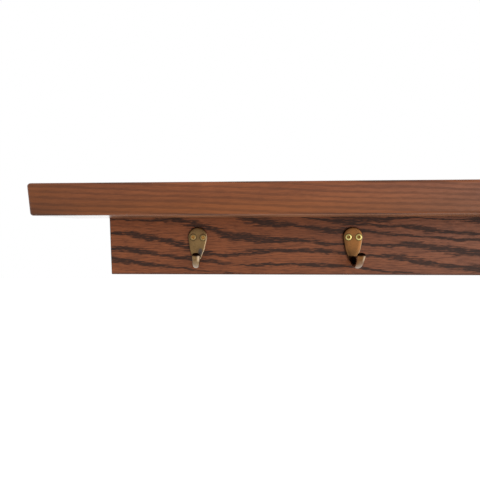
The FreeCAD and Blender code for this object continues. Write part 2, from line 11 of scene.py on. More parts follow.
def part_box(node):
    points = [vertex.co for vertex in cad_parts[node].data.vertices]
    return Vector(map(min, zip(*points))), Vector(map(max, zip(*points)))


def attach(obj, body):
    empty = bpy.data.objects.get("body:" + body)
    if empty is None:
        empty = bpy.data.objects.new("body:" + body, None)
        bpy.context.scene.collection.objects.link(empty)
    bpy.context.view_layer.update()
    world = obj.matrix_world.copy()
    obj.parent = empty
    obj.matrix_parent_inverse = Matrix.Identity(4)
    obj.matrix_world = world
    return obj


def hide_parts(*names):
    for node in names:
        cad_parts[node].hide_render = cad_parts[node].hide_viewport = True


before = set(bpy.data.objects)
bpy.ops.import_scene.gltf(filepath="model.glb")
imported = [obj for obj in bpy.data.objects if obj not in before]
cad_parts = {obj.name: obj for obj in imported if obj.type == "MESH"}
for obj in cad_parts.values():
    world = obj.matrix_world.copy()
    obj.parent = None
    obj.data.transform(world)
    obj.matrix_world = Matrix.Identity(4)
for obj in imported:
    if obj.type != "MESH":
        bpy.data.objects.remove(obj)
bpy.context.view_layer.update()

# The rail. A flat-sawn board of red oak, planed, its front, end and bottom edges eased with
# sandpaper, wiped with a dark stain and finished with satin varnish. The stain has gone into the
# open pores of the early wood, so each year's ring runs along the rail as a dark ragged band.
mm = 0.001
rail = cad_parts["hook_rail"]
rail_low, rail_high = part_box("hook_rail")
rail_length = rail_high.x - rail_low.x
shelf_low, shelf_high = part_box("shelf_board")

# Stained oak: the wood between the bands, its paler streaks, the stain in the pores, which is also
# painted on as shade, the underside painted paler as if lit from below, and the more orange wood of
# the shelf's foot and left end
OAK_PLAIN = (0.170, 0.049, 0.0165, 1)
OAK_PALE = (0.276, 0.083, 0.027, 1)
OAK_PORES_AND_SHADE = (0.032, 0.011, 0.005, 1)
OAK_UNDERSIDE_LIGHT = (0.38, 0.155, 0.068, 1)
OAK_WARM = (0.208, 0.061, 0.009, 1)

# How long and how high the marks of the grain are, and how deep it can be felt
STREAK = (11 * mm, 1.0 * mm)
PORE = (5 * mm, 0.5 * mm)
DASH = (20 * mm, 1.2 * mm)
CLOUD = (120 * mm, 14 * mm)
GRAIN_DEPTH = 0.2 * mm

# The varnish: how much it reflects, and how rough it is where it shines. It shines on the underside,
# past a line from each end of the rail that comes in by this share of its way to the front.
VARNISH_LEVEL = 0.24
SHINE_ROUGH = 0.05
SHINE_SLANT = 0.29
SHINE_EDGE = 1 * mm

# How far a ring's band drops, in millimetres, for each millimetre that it goes into the board
BAND_SLOPE = 0.3

# How high and how thick a band may be, in millimetres, which are the scales of the curves that draw
# it, and how thin it is at least
BAND_REACH = 40.0
BAND_THICKEST = 10.0
BAND_THINNEST = 0.1

# A band's ragged edges: how long and high the steps of the grain are, and how far they push the
# band along the rail. Then the same for a slower wander, which pushes it up and down.
STEP = (24 * mm, 1.0 * mm)
STEP_PUSH = 50 * mm
WANDER = (16 * mm, 5 * mm)
WANDER_PUSH = 4 * mm

# The dark bands, from the lowest to the highest. Each is drawn through a few places: millimetres
# from the rail's left end, millimetres above its middle line, and how thick the band is there.
BANDS = (
    ((0, -13.5, 2), (14, -15, 5), (36, -17.5, 4), (61, -21, 3), (94, -24.5, 1), (132, -28, 1),
     (202, -36, 1)),
    ((0, -2, 3), (26, -4.5, 5.5), (51, -8.5, 3.5), (79, -12.5, 3.5), (110, -16, 3), (130, -19, 1.5),
     (152, -18.5, 3), (186, -18, 2.5), (209, -18.5, 4), (238, -20.5, 2.5), (273, -24.5, 2.5),
     (302, -27, 1), (362, -34, 1)),
    ((0, 13, 2), (14, 13, 3.5), (39, 8.5, 5.5), (60, 5, 5), (79, -0.5, 7), (98, -6.5, 4), (124, -9, 2.5),
     (148, -5.5, 5), (186, -4.3, 3), (217, -5.5, 4), (257, -9.5, 3), (281, -10, 5), (304, -15, 5),
     (333, -20, 3.5), (364, -22.5, 7), (412, -25, 5), (462, -30, 3), (522, -36, 2)),
    ((0, 28, 1), (37, 25.5, 2), (68, 26.5, 5.5), (82, 22, 6), (104, 17.5, 5.5), (121, 10, 6), (136, 8.5, 8),
     (166, 6, 5.5), (197, 5.5, 4), (214, 2.5, 3), (254, 2, 2.5), (272, 0, 3.5), (293, 1.5, 5), (322, -2, 6),
     (347, -5.5, 7), (364, -7, 7), (412, -11, 6), (472, -15, 5), (532, -19, 4), (602, -25, 3),
     (682, -34, 2)),
    ((62, 36, 2), (128, 28, 1.5), (154, 23.5, 7), (186, 20.5, 4), (214, 16, 3.5), (229, 14.5, 5.5),
     (258, 14.5, 3.5), (279, 12, 3), (304, 9.5, 2), (333, 7, 2.5), (364, 5.5, 2.5), (412, 2, 3),
     (472, -3, 6), (542, -7, 5), (602, -12, 4), (682, -20, 5), (790, -30, 3)),
    ((132, 36, 2), (193, 28, 1), (234, 24, 5), (264, 20.5, 2.5), (304, 18, 3), (316, 15.5, 5), (344, 13, 3),
     (364, 12, 3), (422, 11, 5), (482, 8, 6), (552, 3, 4), (622, -2, 6), (702, -9, 5), (790, -15, 4)),
    ((172, 36, 2), (234, 28, 3), (264, 25.5, 5), (292, 27.5, 1.5), (344, 25.5, 1), (363, 25, 6),
     (402, 22, 5), (452, 20, 3), (522, 17, 6), (602, 9, 5), (682, 4, 4), (742, 0, 6), (790, -4, 5)),
    ((382, 36, 2), (432, 30, 2), (482, 27, 5), (542, 25, 4), (602, 20, 6), (662, 15, 5), (722, 12, 4),
     (790, 7, 5)),
    ((502, 36, 2), (562, 31, 2), (622, 27, 6), (682, 24, 4), (742, 21, 6), (790, 17, 5)),
    ((642, 36, 2), (702, 31, 2), (742, 28, 5), (790, 26, 5)),
)


def add(tree, kind, inputs=None, **settings):
    """Add one node of a finish: its settings, then its inputs, each a value or a node's output."""
    node = tree.nodes.new(kind)
    for name, value in settings.items():
        setattr(node, name, value)
    for name, value in (inputs or {}).items():
        if isinstance(value, bpy.types.NodeSocket):
            tree.links.new(value, node.inputs[name])
        else:
            node.inputs[name].default_value = value
    return node


def work_out(tree, operation, *values):
    """The output of one calculation on values or outputs."""
    return add(tree, "ShaderNodeMath", dict(enumerate(values)), operation=operation).outputs[0]


def strongest(tree, first, *others):
    """The largest of several values or outputs."""
    for value in others:
        first = work_out(tree, "MAXIMUM", first, value)
    return first


def together(tree, first, *others):
    """Several shares multiplied, so that it is 1 only where all of them are."""
    for value in others:
        first = work_out(tree, "MULTIPLY", first, value)
    return first


def ease_between(tree, value, low, high, at_low=0.0, at_high=1.0):
    """Turn a value smoothly from at_low to at_high as it goes from low to high."""
    inputs = {"Value": value, "From Min": low, "From Max": high, "To Min": at_low, "To Max": at_high}
    return add(tree, "ShaderNodeMapRange", inputs, interpolation_type="SMOOTHSTEP").outputs["Result"]


def blend_colours(tree, share, first, second):
    """The first colour where share is 0, the second where it is 1."""
    node = add(tree, "ShaderNodeMix", data_type="RGBA")
    for socket, value in ((node.inputs[0], share), (node.inputs[6], first), (node.inputs[7], second)):
        if isinstance(value, bpy.types.NodeSocket):
            tree.links.new(value, socket)
        else:
            socket.default_value = value
    return node.outputs[2]


def speckle(tree, place, across, up, detail=2.0, distortion=0.0, shift=(0, 0, 0)):
    """Cloudy variation about 0.5, whose blots are across metres long in X and up metres in Y and Z."""
    scale = (1 / across, 1 / up, 1 / up)
    stretch = add(tree, "ShaderNodeMapping", {"Vector": place, "Location": shift, "Scale": scale})
    inputs = {"Vector": stretch.outputs[0], "Scale": 1.0, "Detail": detail, "Distortion": distortion}
    return add(tree, "ShaderNodeTexNoise", inputs).outputs[0]


def emboss(tree, shader, height, strength, depth):
    """Let a surface look raised where height is large, with marks about that depth."""
    bump = add(tree, "ShaderNodeBump", {"Height": height, "Strength": strength, "Distance": depth})
    tree.links.new(bump.outputs[0], shader.inputs["Normal"])


def new_finish(name):
    """An empty material with its principled shader, its tree, and the place on the object."""
    finish = bpy.data.materials.new(name)
    finish.use_nodes = True
    tree = finish.node_tree
    shader = tree.nodes["Principled BSDF"]
    place = add(tree, "ShaderNodeTexCoord").outputs["Object"]
    return finish, tree, shader, place


def finish_node(node, finish):
    """Give a node of the frame, or a new piece, its finish in place of any that it came with."""
    if not node.material_slots:
        node.data.materials.append(None)
    for slot in node.material_slots:
        slot.link = "OBJECT"
        slot.material = finish


def varnish_oak(tree, shader, place, bands, bold, coarse, edge_shade, painted_shade, warm):
    """Stained, varnished oak over a field of bands from 0 to 1. Bold is how far the pores show,
    coarse how far they break up the bands. The next two are painted shade: how dark the eased edges
    are painted, and a darker painted stretch of the board. Warm is a more orange stretch. End grain
    drinks more stain. The underside is painted paler, as if lit from below, and past the ends of the
    rail its varnish is glossy where it is seen at a low angle."""
    parts = add(tree, "ShaderNodeSeparateXYZ", {"Vector": place}).outputs
    normal = add(tree, "ShaderNodeTexCoord").outputs["Normal"]
    facing = add(tree, "ShaderNodeSeparateXYZ", {"Vector": normal}).outputs
    sideways, outward, upright = (work_out(tree, "ABSOLUTE", facing[axis]) for axis in ("X", "Y", "Z"))
    square = strongest(tree, sideways, outward, upright)
    arris = ease_between(tree, square, 0.99, 0.93)
    underside = ease_between(tree, facing["Z"], -0.9, -0.99)
    in_front = work_out(tree, "SUBTRACT", rail_low.y, parts["Y"])
    reach = work_out(tree, "MULTIPLY_ADD", in_front, SHINE_SLANT, work_out(tree, "ABSOLUTE", parts["X"]))
    past_rail = ease_between(tree, reach, rail_high.x - SHINE_EDGE, rail_high.x + SHINE_EDGE)
    shine = together(tree, underside, past_rail)
    end_grain = ease_between(tree, sideways, 0.9, 0.98, 0.0, 0.5)
    stain_and_shade = strongest(tree, together(tree, arris, edge_shade), end_grain, painted_shade)

    streaks = speckle(tree, place, *STREAK, detail=3.0)
    pores = speckle(tree, place, *PORE, detail=1.0)
    clouds = speckle(tree, place, *CLOUD, detail=3.0)
    ragged = work_out(tree, "MULTIPLY_ADD", streaks, 3.2, -1.6)
    pitted = work_out(tree, "MULTIPLY_ADD", pores, 1.8, -0.9)
    texture = work_out(tree, "ADD", ragged, pitted)
    field = work_out(tree, "MULTIPLY_ADD", texture, coarse, bands)
    dashes = speckle(tree, place, *DASH, detail=3.0, shift=(2, 9, 4))
    dashes = ease_between(tree, dashes, 0.48, 0.68, 0.0, 0.42)
    dark = together(tree, strongest(tree, ease_between(tree, field, 0.06, 1.05), dashes), bold)
    pale = work_out(tree, "MULTIPLY_ADD", clouds, 1.0 + coarse, -0.25 - coarse / 2)
    pale = work_out(tree, "MULTIPLY_ADD", texture, coarse * 0.8, pale)
    wood = blend_colours(tree, ease_between(tree, pale, -0.35, 0.75, 1.0, 0.0), OAK_PLAIN, OAK_PALE)
    wood = blend_colours(tree, warm, wood, OAK_WARM)
    # Painted light: the underside is made paler, as if lit from below
    wood = blend_colours(tree, together(tree, underside, 0.75), wood, OAK_UNDERSIDE_LIGHT)
    colour = blend_colours(tree, dark, wood, OAK_PORES_AND_SHADE)
    # Painted shade on the eased edges and over darker stretches, with real stain soaked into the end grain
    colour = blend_colours(tree, stain_and_shade, colour, OAK_PORES_AND_SHADE)
    tree.links.new(colour, shader.inputs["Base Color"])

    rough = work_out(tree, "MULTIPLY_ADD", dark, 0.16, 0.42)
    rough = work_out(tree, "MULTIPLY_ADD", pitted, 0.1, rough)
    tree.links.new(rough, shader.inputs["Roughness"])
    height = work_out(tree, "MULTIPLY_ADD", dark, -0.7, work_out(tree, "MULTIPLY", texture, 0.2))
    height = together(tree, height, work_out(tree, "SUBTRACT", 1.0, shine))
    emboss(tree, shader, height, 0.35, GRAIN_DEPTH)
    shader.inputs["Specular IOR Level"].default_value = VARNISH_LEVEL
    glance = add(tree, "ShaderNodeLayerWeight", {"Blend": 0.5}).outputs["Facing"]
    coat = together(tree, shine, ease_between(tree, glance, 0.9, 0.955))
    tree.links.new(coat, shader.inputs["Coat Weight"])
    shader.inputs["Coat Roughness"].default_value = SHINE_ROUGH


def curve_through(tree, value, points):
    """A smooth curve through points whose two numbers both run from 0 to 1."""
    node = add(tree, "ShaderNodeFloatCurve", {"Value": value})
    line = node.mapping.curves[0]
    for share, height in points[1:-1]:
        line.points.new(share, height)
    for end, (share, height) in ((line.points[0], points[0]), (line.points[-1], points[-1])):
        end.location = (share, height)
    node.mapping.update()
    return node.outputs[0]


def rail_bands(tree, place):
    """Where the rail's dark bands lie, as a field from 0 to 1, with their edges stepped by the grain."""
    steps = speckle(tree, place, *STEP, detail=2.0)
    wander = speckle(tree, place, *WANDER, detail=2.0, shift=(3, 7, 5))
    parts = add(tree, "ShaderNodeSeparateXYZ", {"Vector": place}).outputs
    along = work_out(tree, "MULTIPLY_ADD", steps, STEP_PUSH, parts["X"])
    along = work_out(tree, "SUBTRACT", along, rail_low.x + STEP_PUSH / 2)
    along = work_out(tree, "DIVIDE", along, rail_length)
    depth = work_out(tree, "SUBTRACT", parts["Y"], rail_low.y)
    height = work_out(tree, "MULTIPLY_ADD", depth, BAND_SLOPE, parts["Z"])
    height = work_out(tree, "MULTIPLY_ADD", wander, WANDER_PUSH, height)
    height = work_out(tree, "MULTIPLY_ADD", height, 1 / mm, -WANDER_PUSH / 2 / mm)
    bands = 0.0
    for course in BANDS:
        reaches, heights, thicks = zip(*course)
        shares = [reach * mm / rail_length for reach in reaches]
        middles = [(middle + BAND_REACH) / (2 * BAND_REACH) for middle in heights]
        thicks = [thick / BAND_THICKEST for thick in thicks]
        middle = curve_through(tree, along, list(zip(shares, middles)))
        thick = curve_through(tree, along, list(zip(shares, thicks)))
        line = work_out(tree, "MULTIPLY_ADD", middle, 2 * BAND_REACH, -BAND_REACH)
        away = work_out(tree, "ABSOLUTE", work_out(tree, "SUBTRACT", height, line))
        thick = work_out(tree, "MULTIPLY", thick, BAND_THICKEST)
        half = work_out(tree, "DIVIDE", strongest(tree, thick, BAND_THINNEST), 2.0)
        share = work_out(tree, "DIVIDE", away, half)
        bands = strongest(tree, bands, ease_between(tree, share, 0.5, 1.8, 1.0, 0.0))
    return bands


# Painted shade on the rail: darker along its shaded lower edge, in the shelf's shadow along its upper edge,
# and a little darker towards the right where the light falls off
LOWER_DARK = 2.5 * mm
UPPER_DARK = 4 * mm
EDGE_DARKEST = 0.5 * mm
RIGHT_STARTS = 10 * mm
RIGHT_ENDS = 310 * mm

rail_oak, tree, shader, place = new_finish("rail_oak")
parts = add(tree, "ShaderNodeSeparateXYZ", {"Vector": place}).outputs
# Painted shade: the shaded lower edge, the shelf's shadow, and the falling light towards the right
lower_edge_shade = ease_between(tree, parts["Z"], rail_low.z + LOWER_DARK, rail_low.z + EDGE_DARKEST, 0.0, 0.6)
shelf_shadow = ease_between(tree, parts["Z"], rail_high.z - UPPER_DARK, rail_high.z - EDGE_DARKEST, 0.0, 0.22)
right_shade = ease_between(tree, parts["X"], rail_low.x + RIGHT_STARTS, rail_low.x + RIGHT_ENDS, 0.0, 0.15)
painted_shade = strongest(tree, lower_edge_shade, shelf_shadow, right_shade)
bands = rail_bands(tree, place)
varnish_oak(tree, shader, place, bands, bold=1.0, coarse=0.74, edge_shade=0.9, painted_shade=painted_shade, warm=0.0)
finish_node(rail, rail_oak)

# The shelf. One board of the same oak, laid on the rail's top edge and glued to it over dowels. Its
# front edge and ends are sawn across the rings, so there they show as fine soft lines, and its
# top is flat-sawn, with arches down the middle. Its edges are well eased all round.
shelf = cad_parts["shelf_board"]

# The tree's heart lay this far below the rail's middle line and sank by this share towards the
# right. Then how far apart the rings are, how long and high their steps are, how far these push the
# rings along, and the same for a slow wander, which pushes them outward.
HEART_BELOW = 95 * mm
HEART_DRIFT = 0.04
RING = 4.3 * mm
RING_STEP = (40 * mm, 1.4 * mm)
RING_STEP_PUSH = 40 * mm
RING_WANDER = (150 * mm, 30 * mm)
RING_WANDER_PUSH = 6 * mm

# Painted shade on the shelf's front: darker at the left end and towards the right, where the light
# falls off, and darkest in its lower left corner. It is more orange at the left end and along its foot.
LEFT_DARK = 160 * mm
CORNER_LONG = 65 * mm
CORNER_HIGH = 17 * mm
CORNER_DARKEST = 2 * mm
RIGHT_DARK_STARTS = 210 * mm
RIGHT_DARK_ENDS = 400 * mm
ORANGE_LONG = 70 * mm
ORANGE_HIGH = 22 * mm
ORANGE_MOST = 3 * mm


def distance_from(tree, across, up):
    """How far a place is from the middle, from how far it is across and up."""
    squares = work_out(tree, "MULTIPLY_ADD", up, up, work_out(tree, "MULTIPLY", across, across))
    return work_out(tree, "SQRT", squares)


def shelf_bands(tree, place):
    """The rings of a log whose heart runs almost along the board, as dark early wood from 0 to 1."""
    steps = speckle(tree, place, *RING_STEP, detail=2.0, shift=(1, 4, 2))
    wander = speckle(tree, place, *RING_WANDER, detail=2.0, shift=(5, 1, 8))
    parts = add(tree, "ShaderNodeSeparateXYZ", {"Vector": place}).outputs
    across = work_out(tree, "SUBTRACT", parts["Y"], (shelf_low.y + shelf_high.y) / 2)
    along = work_out(tree, "MULTIPLY_ADD", steps, RING_STEP_PUSH, parts["X"])
    up = work_out(tree, "ADD", parts["Z"], HEART_BELOW)
    up = work_out(tree, "MULTIPLY_ADD", along, HEART_DRIFT, up)
    radius = work_out(tree, "MULTIPLY_ADD", wander, RING_WANDER_PUSH, distance_from(tree, across, up))
    ring = work_out(tree, "FRACT", work_out(tree, "DIVIDE", radius, RING))
    rises = ease_between(tree, ring, 0.0, 0.25)
    falls = ease_between(tree, ring, 0.35, 0.8, 1.0, 0.0)
    return together(tree, rises, falls)


shelf_oak, tree, shader, place = new_finish("shelf_oak")
normal = add(tree, "ShaderNodeTexCoord").outputs["Normal"]
facing_up = work_out(tree, "ABSOLUTE", add(tree, "ShaderNodeSeparateXYZ", {"Vector": normal}).outputs["Z"])
bold = ease_between(tree, facing_up, 0.3, 0.95, 0.34, 0.85)
parts = add(tree, "ShaderNodeSeparateXYZ", {"Vector": place}).outputs
along = parts["X"]
up = work_out(tree, "SUBTRACT", parts["Z"], shelf_low.z)
starts, ends = shelf_low.x + RIGHT_DARK_STARTS, shelf_low.x + RIGHT_DARK_ENDS
# Painted shade where the light falls off at both ends, and in the lower left corner
left_shade = ease_between(tree, along, shelf_low.x, shelf_low.x + LEFT_DARK, 0.22, 0.0)
right_shade = ease_between(tree, along, starts, ends, 0.0, 0.19)
end_shade = ease_between(tree, along, shelf_low.x, shelf_low.x + CORNER_LONG, 0.36, 0.0)
low_corner_shade = ease_between(tree, up, CORNER_HIGH, CORNER_DARKEST)
painted_shade = work_out(tree, "MULTIPLY_ADD", end_shade, low_corner_shade, strongest(tree, left_shade, right_shade))
near_end = ease_between(tree, along, shelf_low.x, shelf_low.x + ORANGE_LONG, 0.4, 0.0)
near_foot = ease_between(tree, up, ORANGE_HIGH, ORANGE_MOST, 0.0, 0.45)
warm = strongest(tree, near_end, near_foot)
bands = shelf_bands(tree, place)
varnish_oak(tree, shader, place, bands, bold=bold, coarse=0.35, edge_shade=0.0, painted_shade=painted_shade, warm=warm)
finish_node(shelf, shelf_oak)

# The dowels. Six plain beech pins, glued half into the rail and half into the shelf, out of sight.
# Beech is pale and even, with short fine flecks.
DOWEL_WOOD = (0.56, 0.37, 0.20, 1)
DOWEL_FLECK = (0.36, 0.20, 0.095, 1)
FLECK = (3 * mm, 0.4 * mm)
FLECK_DEPTH = 0.1 * mm

beech, tree, shader, place = new_finish("beech")
turned = add(tree, "ShaderNodeMapping", {"Vector": place, "Rotation": (0, math.pi / 2, 0)}).outputs[0]
flecks = speckle(tree, turned, *FLECK, detail=2.0)
wood = blend_colours(tree, ease_between(tree, flecks, 0.52, 0.7), DOWEL_WOOD, DOWEL_FLECK)
tree.links.new(wood, shader.inputs["Base Color"])
tree.links.new(work_out(tree, "MULTIPLY_ADD", flecks, 0.3, 0.5), shader.inputs["Roughness"])
emboss(tree, shader, flecks, 0.2, FLECK_DEPTH)
for name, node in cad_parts.items():
    if name.startswith("dowel_"):
        finish_node(node, beech)

# The hooks. Small brass castings: a drop-shaped plate, slightly domed, with two countersunk holes,
# that runs at its foot into an upturned prong. They are screwed to the rail's front, and have a
# brown antique patina, with a painted highlight along their right-hand edges.

# The plate's outline goes round three circles, from the head to the foot. Each has the height of its
# middle, measured from the screws' middles, and its radius.
FOOT_RADIUS = 4.0 * mm
PLATE_ROUNDS = ((0.5 * mm, 9.55 * mm), (-10.0 * mm, 7.7 * mm), (-20.8 * mm, FOOT_RADIUS))
PLATE_THICK = 2.8 * mm
RIM_ROUND = 0.9 * mm
PLATE_DOME = 0.15 * mm
DOME_SHORT = 0.3 * mm

# The prong leaves the plate downward, bends out, runs level at its lowest and bends up to its tip.
# It leans a little to the right as it comes out.
PRONG_WIDTH = 8.2 * mm
PRONG_THICK = 6.2 * mm
PRONG_SEAT = 0.35 * mm
PRONG_ROOT = 8.0 * mm
PRONG_LOW = 27.1 * mm
BACK_BEND = 10.1 * mm
PRONG_FLAT = 3.8 * mm
FRONT_BEND = 11.0 * mm
PRONG_RISE = 9.6 * mm
PRONG_LEAN = 0.06
TIP_TURN = math.radians(55)
TIP_ROUND = 3.0 * mm

# The prong at a few shares of its length: its width and its thickness, as shares of their largest
PRONG_SHARES = (
    (0.0, 0.5, 0.12), (0.17, 0.85, 0.38), (0.51, 0.74, 0.72),
    (0.59, 0.73, 0.78), (0.81, 0.86, 0.9), (1.0, 1.0, 1.0),
)

# The screw holes: how far apart, how far to the right of the plate's middle line, and how wide
SCREW_GAP = 9.9 * mm
SCREW_SIDE = 0.6 * mm
SINK_RADIUS = 3.2 * mm
HOLE_RADIUS = 1.85 * mm
OVERRUN = 1.0 * mm

# How finely the casting is drawn: corners round a circle, steps over the plate's rim and its dome,
# rings along the prong, corners round a cutter, the grain of the skin that joins plate and prong,
# how far and how often that is softened, and the sharpest turn that is still shaded smooth
AROUND = 96
RIM_STEPS = 6
DOME_STEPS = 7
PRONG_RINGS = 90
CUTTER_AROUND = 64
SKIN_GRAIN = 0.3 * mm
SOFTEN_SHARE = 0.5
SOFTEN_TIMES = 6
SMOOTH_TURN = math.radians(40)


def plate_outline(inset):
    """The drop shape, drawn in by inset, as points across and up, anticlockwise from the right."""
    leans = []
    for (height, radius), (next_height, next_radius) in zip(PLATE_ROUNDS, PLATE_ROUNDS[1:]):
        leans.append(math.asin((radius - next_radius) / (height - next_height)))
    arcs = [(0, -leans[0], math.pi + leans[0], AROUND // 2)]
    arcs.append((1, math.pi + leans[0], math.pi + leans[1], AROUND // 12))
    arcs.append((2, math.pi + leans[1], 2 * math.pi - leans[1], AROUND // 3))
    arcs.append((1, -leans[1], -leans[0], AROUND // 12))
    points = []
    for order, start, end, count in arcs:
        height, radius = PLATE_ROUNDS[order]
        for turn in np.linspace(start, end, count):
            points.append(((radius - inset) * math.cos(turn), (radius - inset) * math.sin(turn) + height))
    return points


def add_loop(shape, points):
    """A ring of new corners of a mesh."""
    return [shape.verts.new(point) for point in points]


def skin(shape, loops):
    """Close a row of rings of equal count with four-sided faces, and cap both ends."""
    for ring, after in zip(loops, loops[1:]):
        for corner in range(len(ring)):
            shape.faces.new((ring[corner], ring[corner - 1], after[corner - 1], after[corner]))
    shape.faces.new(loops[0])
    shape.faces.new(loops[-1][::-1])


def add_plate(shape):
    """The plate: flat back, upright side, rounded rim and a low dome."""
    steps = [(0, 0), (0, PLATE_THICK - PLATE_DOME - RIM_ROUND)]
    for turn in np.linspace(0, math.pi / 2, RIM_STEPS + 1)[1:]:
        inset = RIM_ROUND * (1 - math.cos(turn))
        steps.append((inset, PLATE_THICK - PLATE_DOME - RIM_ROUND * (1 - math.sin(turn))))
    for share in np.linspace(0, 1, DOME_STEPS + 1)[1:]:
        inset = RIM_ROUND + (FOOT_RADIUS - DOME_SHORT - RIM_ROUND) * share
        steps.append((inset, PLATE_THICK - PLATE_DOME * (1 - share) ** 2))
    skin(shape, [add_loop(shape, [(x, -out, z) for x, z in plate_outline(inset)]) for inset, out in steps])


def prong_line(steps):
    """Places along the prong's middle line: how far along as a share, how far from the tip, how far
    out from the rail and up, and the way it heads there."""
    leaving = PRONG_SEAT + PRONG_SHARES[1][2] / 2 * PRONG_THICK
    lengths = [PRONG_ROOT, BACK_BEND * math.pi / 2, PRONG_FLAT, FRONT_BEND * TIP_TURN, PRONG_RISE]
    starts = np.concatenate([[0], np.cumsum(lengths)])
    line = []
    for reach in np.linspace(0, starts[-1], steps):
        if reach <= starts[1]:
            inside = (1 - reach / PRONG_ROOT) * (leaving - PRONG_SEAT - PRONG_SHARES[0][2] / 2 * PRONG_THICK)
            out = leaving - inside
            up = BACK_BEND - PRONG_LOW + PRONG_ROOT - reach
            turn = -math.pi / 2
        elif reach <= starts[2]:
            swing = (reach - starts[1]) / BACK_BEND
            out = leaving + BACK_BEND * (1 - math.cos(swing))
            up = BACK_BEND * (1 - math.sin(swing)) - PRONG_LOW
            turn = swing - math.pi / 2
        else:
            flat = min(reach - starts[2], PRONG_FLAT)
            turn = min(max(reach - starts[3], 0) / FRONT_BEND, TIP_TURN)
            rise = max(reach - starts[4], 0)
            out = leaving + BACK_BEND + flat + FRONT_BEND * math.sin(turn) + rise * math.cos(TIP_TURN)
            up = FRONT_BEND * (1 - math.cos(turn)) + rise * math.sin(TIP_TURN) - PRONG_LOW
        line.append((reach / starts[-1], starts[-1] - reach, (out, up), turn))
    return line


def add_prong(shape):
    """The prong: oval rings along its line, from inside the plate round to a softly rounded tip."""
    shares, widths, thicks = zip(*PRONG_SHARES)
    loops = []
    for share, left, (out, up), turn in prong_line(PRONG_RINGS):
        width = np.interp(share, shares, widths) * PRONG_WIDTH / 2
        thick = np.interp(share, shares, thicks) * PRONG_THICK / 2
        drawn_in = TIP_ROUND - math.sqrt(max(TIP_ROUND**2 - max(TIP_ROUND - left, 0) ** 2, 0))
        width, thick = width - drawn_in, thick - drawn_in
        ring = []
        for angle in np.linspace(0, 2 * math.pi, AROUND // 2, endpoint=False):
            side, inward = width * math.cos(angle), thick * math.sin(angle)
            lean = PRONG_LEAN * (out - PRONG_SEAT)
            ring.append((side + lean, -(out - inward * math.sin(turn)), up + inward * math.cos(turn)))
        loops.append(add_loop(shape, ring))
    skin(shape, loops)


def shape_to_mesh(shape, name):
    """A mesh from a shape, its faces turned outward."""
    bmesh.ops.recalc_face_normals(shape, faces=shape.faces)
    made = bpy.data.meshes.new(name)
    shape.to_mesh(made)
    shape.free()
    return made


def settle(piece):
    """Give a piece the mesh that its modifiers make, in place of its own."""
    evaluated = piece.evaluated_get(bpy.context.evaluated_depsgraph_get())
    piece.data = bpy.data.meshes.new_from_object(evaluated)
    piece.modifiers.clear()


def new_piece(name, data):
    """A piece in the scene with that mesh."""
    piece = bpy.data.objects.new(name, data)
    bpy.context.scene.collection.objects.link(piece)
    return piece


def cut_away(piece, cutter):
    """Cut one piece out of another and drop the cutter."""
    cut = piece.modifiers.new("cut", "BOOLEAN")
    cut.operation = "DIFFERENCE"
    cut.solver = "EXACT"
    cut.object = cutter
    settle(piece)
    bpy.data.objects.remove(cutter)


def smooth_mesh(piece, sharpest):
    """The mesh of a piece, shaded smooth up to the sharpest turn. The piece itself is dropped."""
    made = piece.data
    made.polygons.foreach_set("use_smooth", [True] * len(made.polygons))
    made.set_sharp_from_angle(angle=sharpest)
    bpy.data.objects.remove(piece)
    return made


def cone_cutter(middle, rings):
    """A round cutter about a line along Y, from rings of how far out and what radius."""
    shape = bmesh.new()
    angles = np.linspace(0, 2 * math.pi, CUTTER_AROUND, endpoint=False)
    circle = [(math.cos(angle), math.sin(angle)) for angle in angles]
    loops = []
    for out, radius in rings:
        loops.append(add_loop(shape, [(middle + radius * x, -out, radius * z) for x, z in circle]))
    skin(shape, loops)
    return new_piece("cutter", shape_to_mesh(shape, "cutter"))


def cast_hook():
    """One hook as it comes from the mould, with its screw holes countersunk."""
    shape = bmesh.new()
    add_plate(shape)
    add_prong(shape)
    casting = new_piece("casting", shape_to_mesh(shape, "hook_casting"))
    melt = casting.modifiers.new("melt", "REMESH")
    melt.mode = "VOXEL"
    melt.voxel_size = SKIN_GRAIN
    soften = casting.modifiers.new("soften", "SMOOTH")
    soften.factor = SOFTEN_SHARE
    soften.iterations = SOFTEN_TIMES
    settle(casting)
    for vert in casting.data.vertices:
        vert.co.y = min(vert.co.y, 0)
    sink_starts = PLATE_THICK - (SINK_RADIUS - HOLE_RADIUS)
    widest = (PLATE_THICK + OVERRUN, SINK_RADIUS + OVERRUN)
    rings = [(-OVERRUN, HOLE_RADIUS), (sink_starts, HOLE_RADIUS), widest]
    for middle in (SCREW_SIDE - SCREW_GAP / 2, SCREW_SIDE + SCREW_GAP / 2):
        cut_away(casting, cone_cutter(middle, rings))
    return smooth_mesh(casting, SMOOTH_TURN)


# Antique brass: its painted highlight, its dark patina that is also painted on as shade, its painted
# reflection of the floor beneath, its painted shade and its blotch
HIGHLIGHT_BRASS = (0.68, 0.51, 0.33, 1)
DARK_BRASS = (0.075, 0.042, 0.018, 1)
FLOOR_REFLECTION_BRASS = (0.33, 0.265, 0.205, 1)
SHADE_DARK = (0.016, 0.007, 0.004, 1)
BLOTCH = (0.075, 0.070, 0.075, 1)

# The patina's cloudy blots, its fine mottle and how deep that is
BLOT = 6 * mm
MOTTLE = 0.9 * mm
MOTTLE_DEPTH = 0.06 * mm

